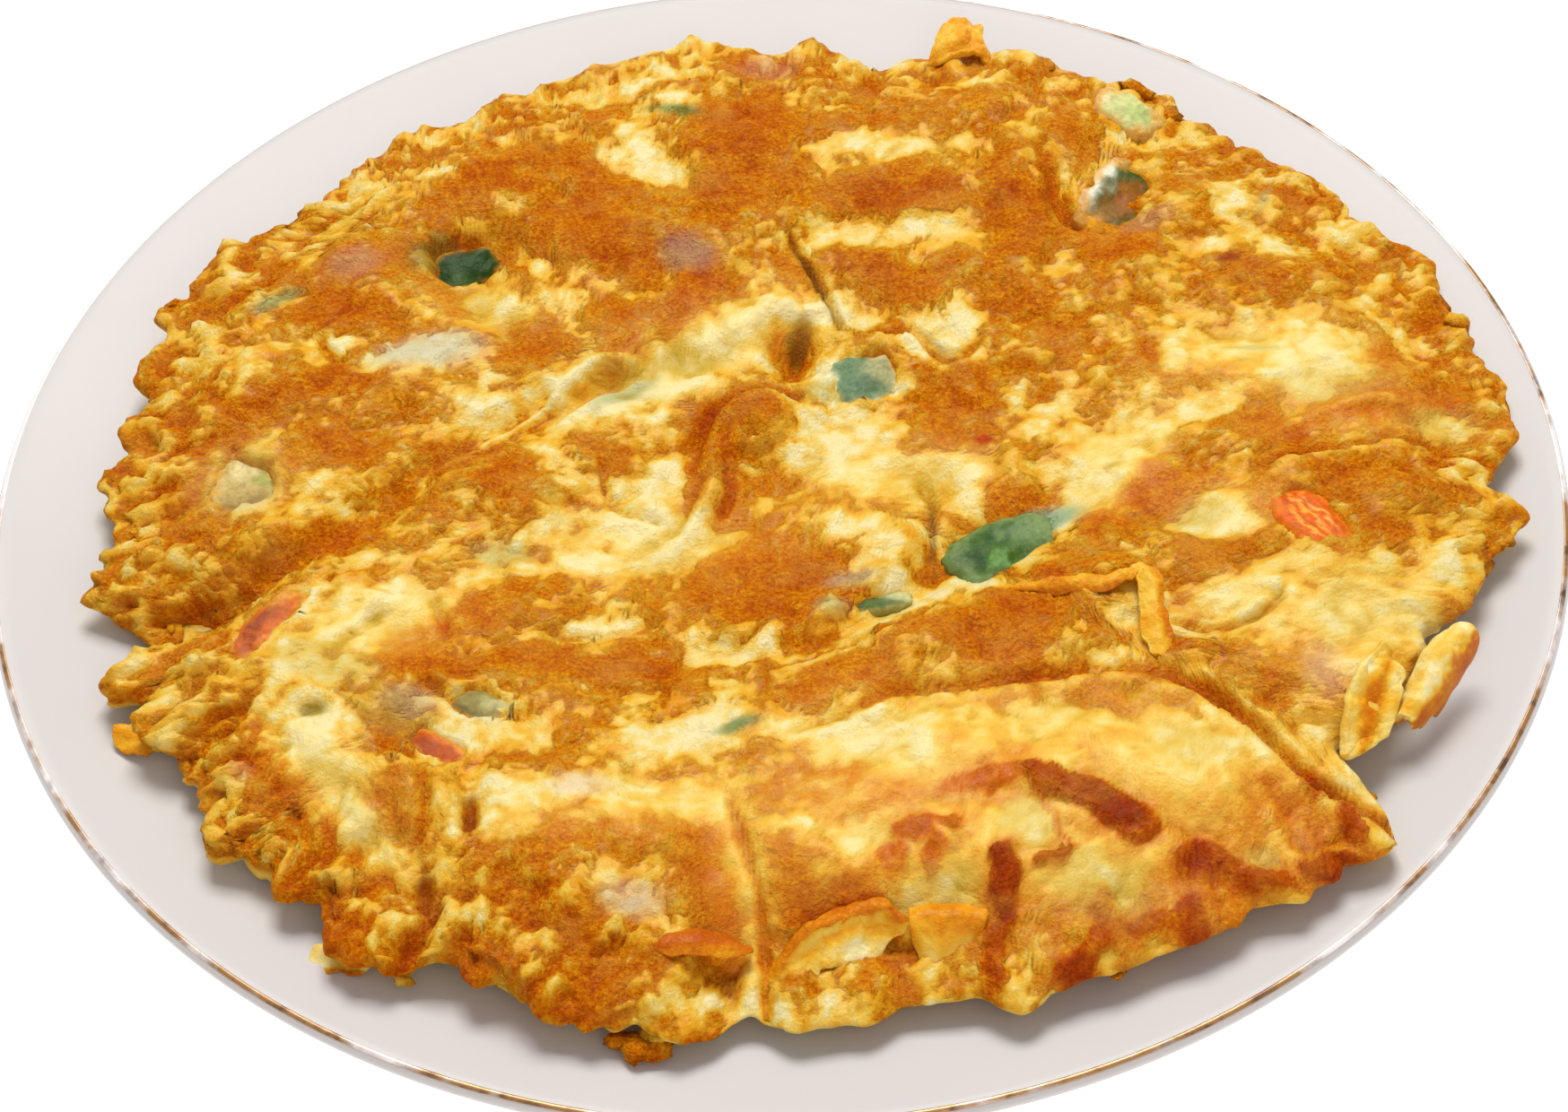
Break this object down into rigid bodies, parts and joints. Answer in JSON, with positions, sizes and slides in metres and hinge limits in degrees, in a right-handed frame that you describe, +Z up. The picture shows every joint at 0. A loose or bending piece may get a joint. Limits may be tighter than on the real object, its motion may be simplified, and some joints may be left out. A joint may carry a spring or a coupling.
{
  "type": "vegetable omelette on a plate",
  "caption": "Round thick pan-fried vegetable omelette, browned and lobed, with curled flaps at its edge, lying on a white porcelain dinner plate.",
  "frame": {"origin": "middle of the plate's foot ring, at the level it stands on", "axes": "+Z up out of the plate, through the omelette's browned top; -Y towards the smooth front lobe"},
  "size_m": [0.27, 0.27, 0.0333],
  "materials": {
    "porcelain": "smooth white glaze with a thin worn gilt line at the rim",
    "fried_egg": "fried egg batter, pale yellow in the hollows and browned on the high parts",
    "pepper": "cooked green pepper, moist",
    "leaf": "cooked green leaf, moist",
    "carrot": "cooked carrot, moist",
    "ham": "fried ham",
    "mushroom": "cooked mushroom slice",
    "onion": "soft cooked onion, moist"
  },
  "bodies": {
    "root": {"plate": "porcelain", "omelette": "fried_egg", "pepper_upper_right": "pepper", "pepper_hub": "pepper", "pepper_upper_left": "pepper", "pepper_far_right": "pepper", "leaf_middle": "leaf", "green_strip_middle": "leaf", "carrot_right": "carrot", "carrot_front_left": "carrot", "ham_left": "ham", "mushroom_front_left": "mushroom", "onion_left": "onion"}
  },
  "joints": []
}
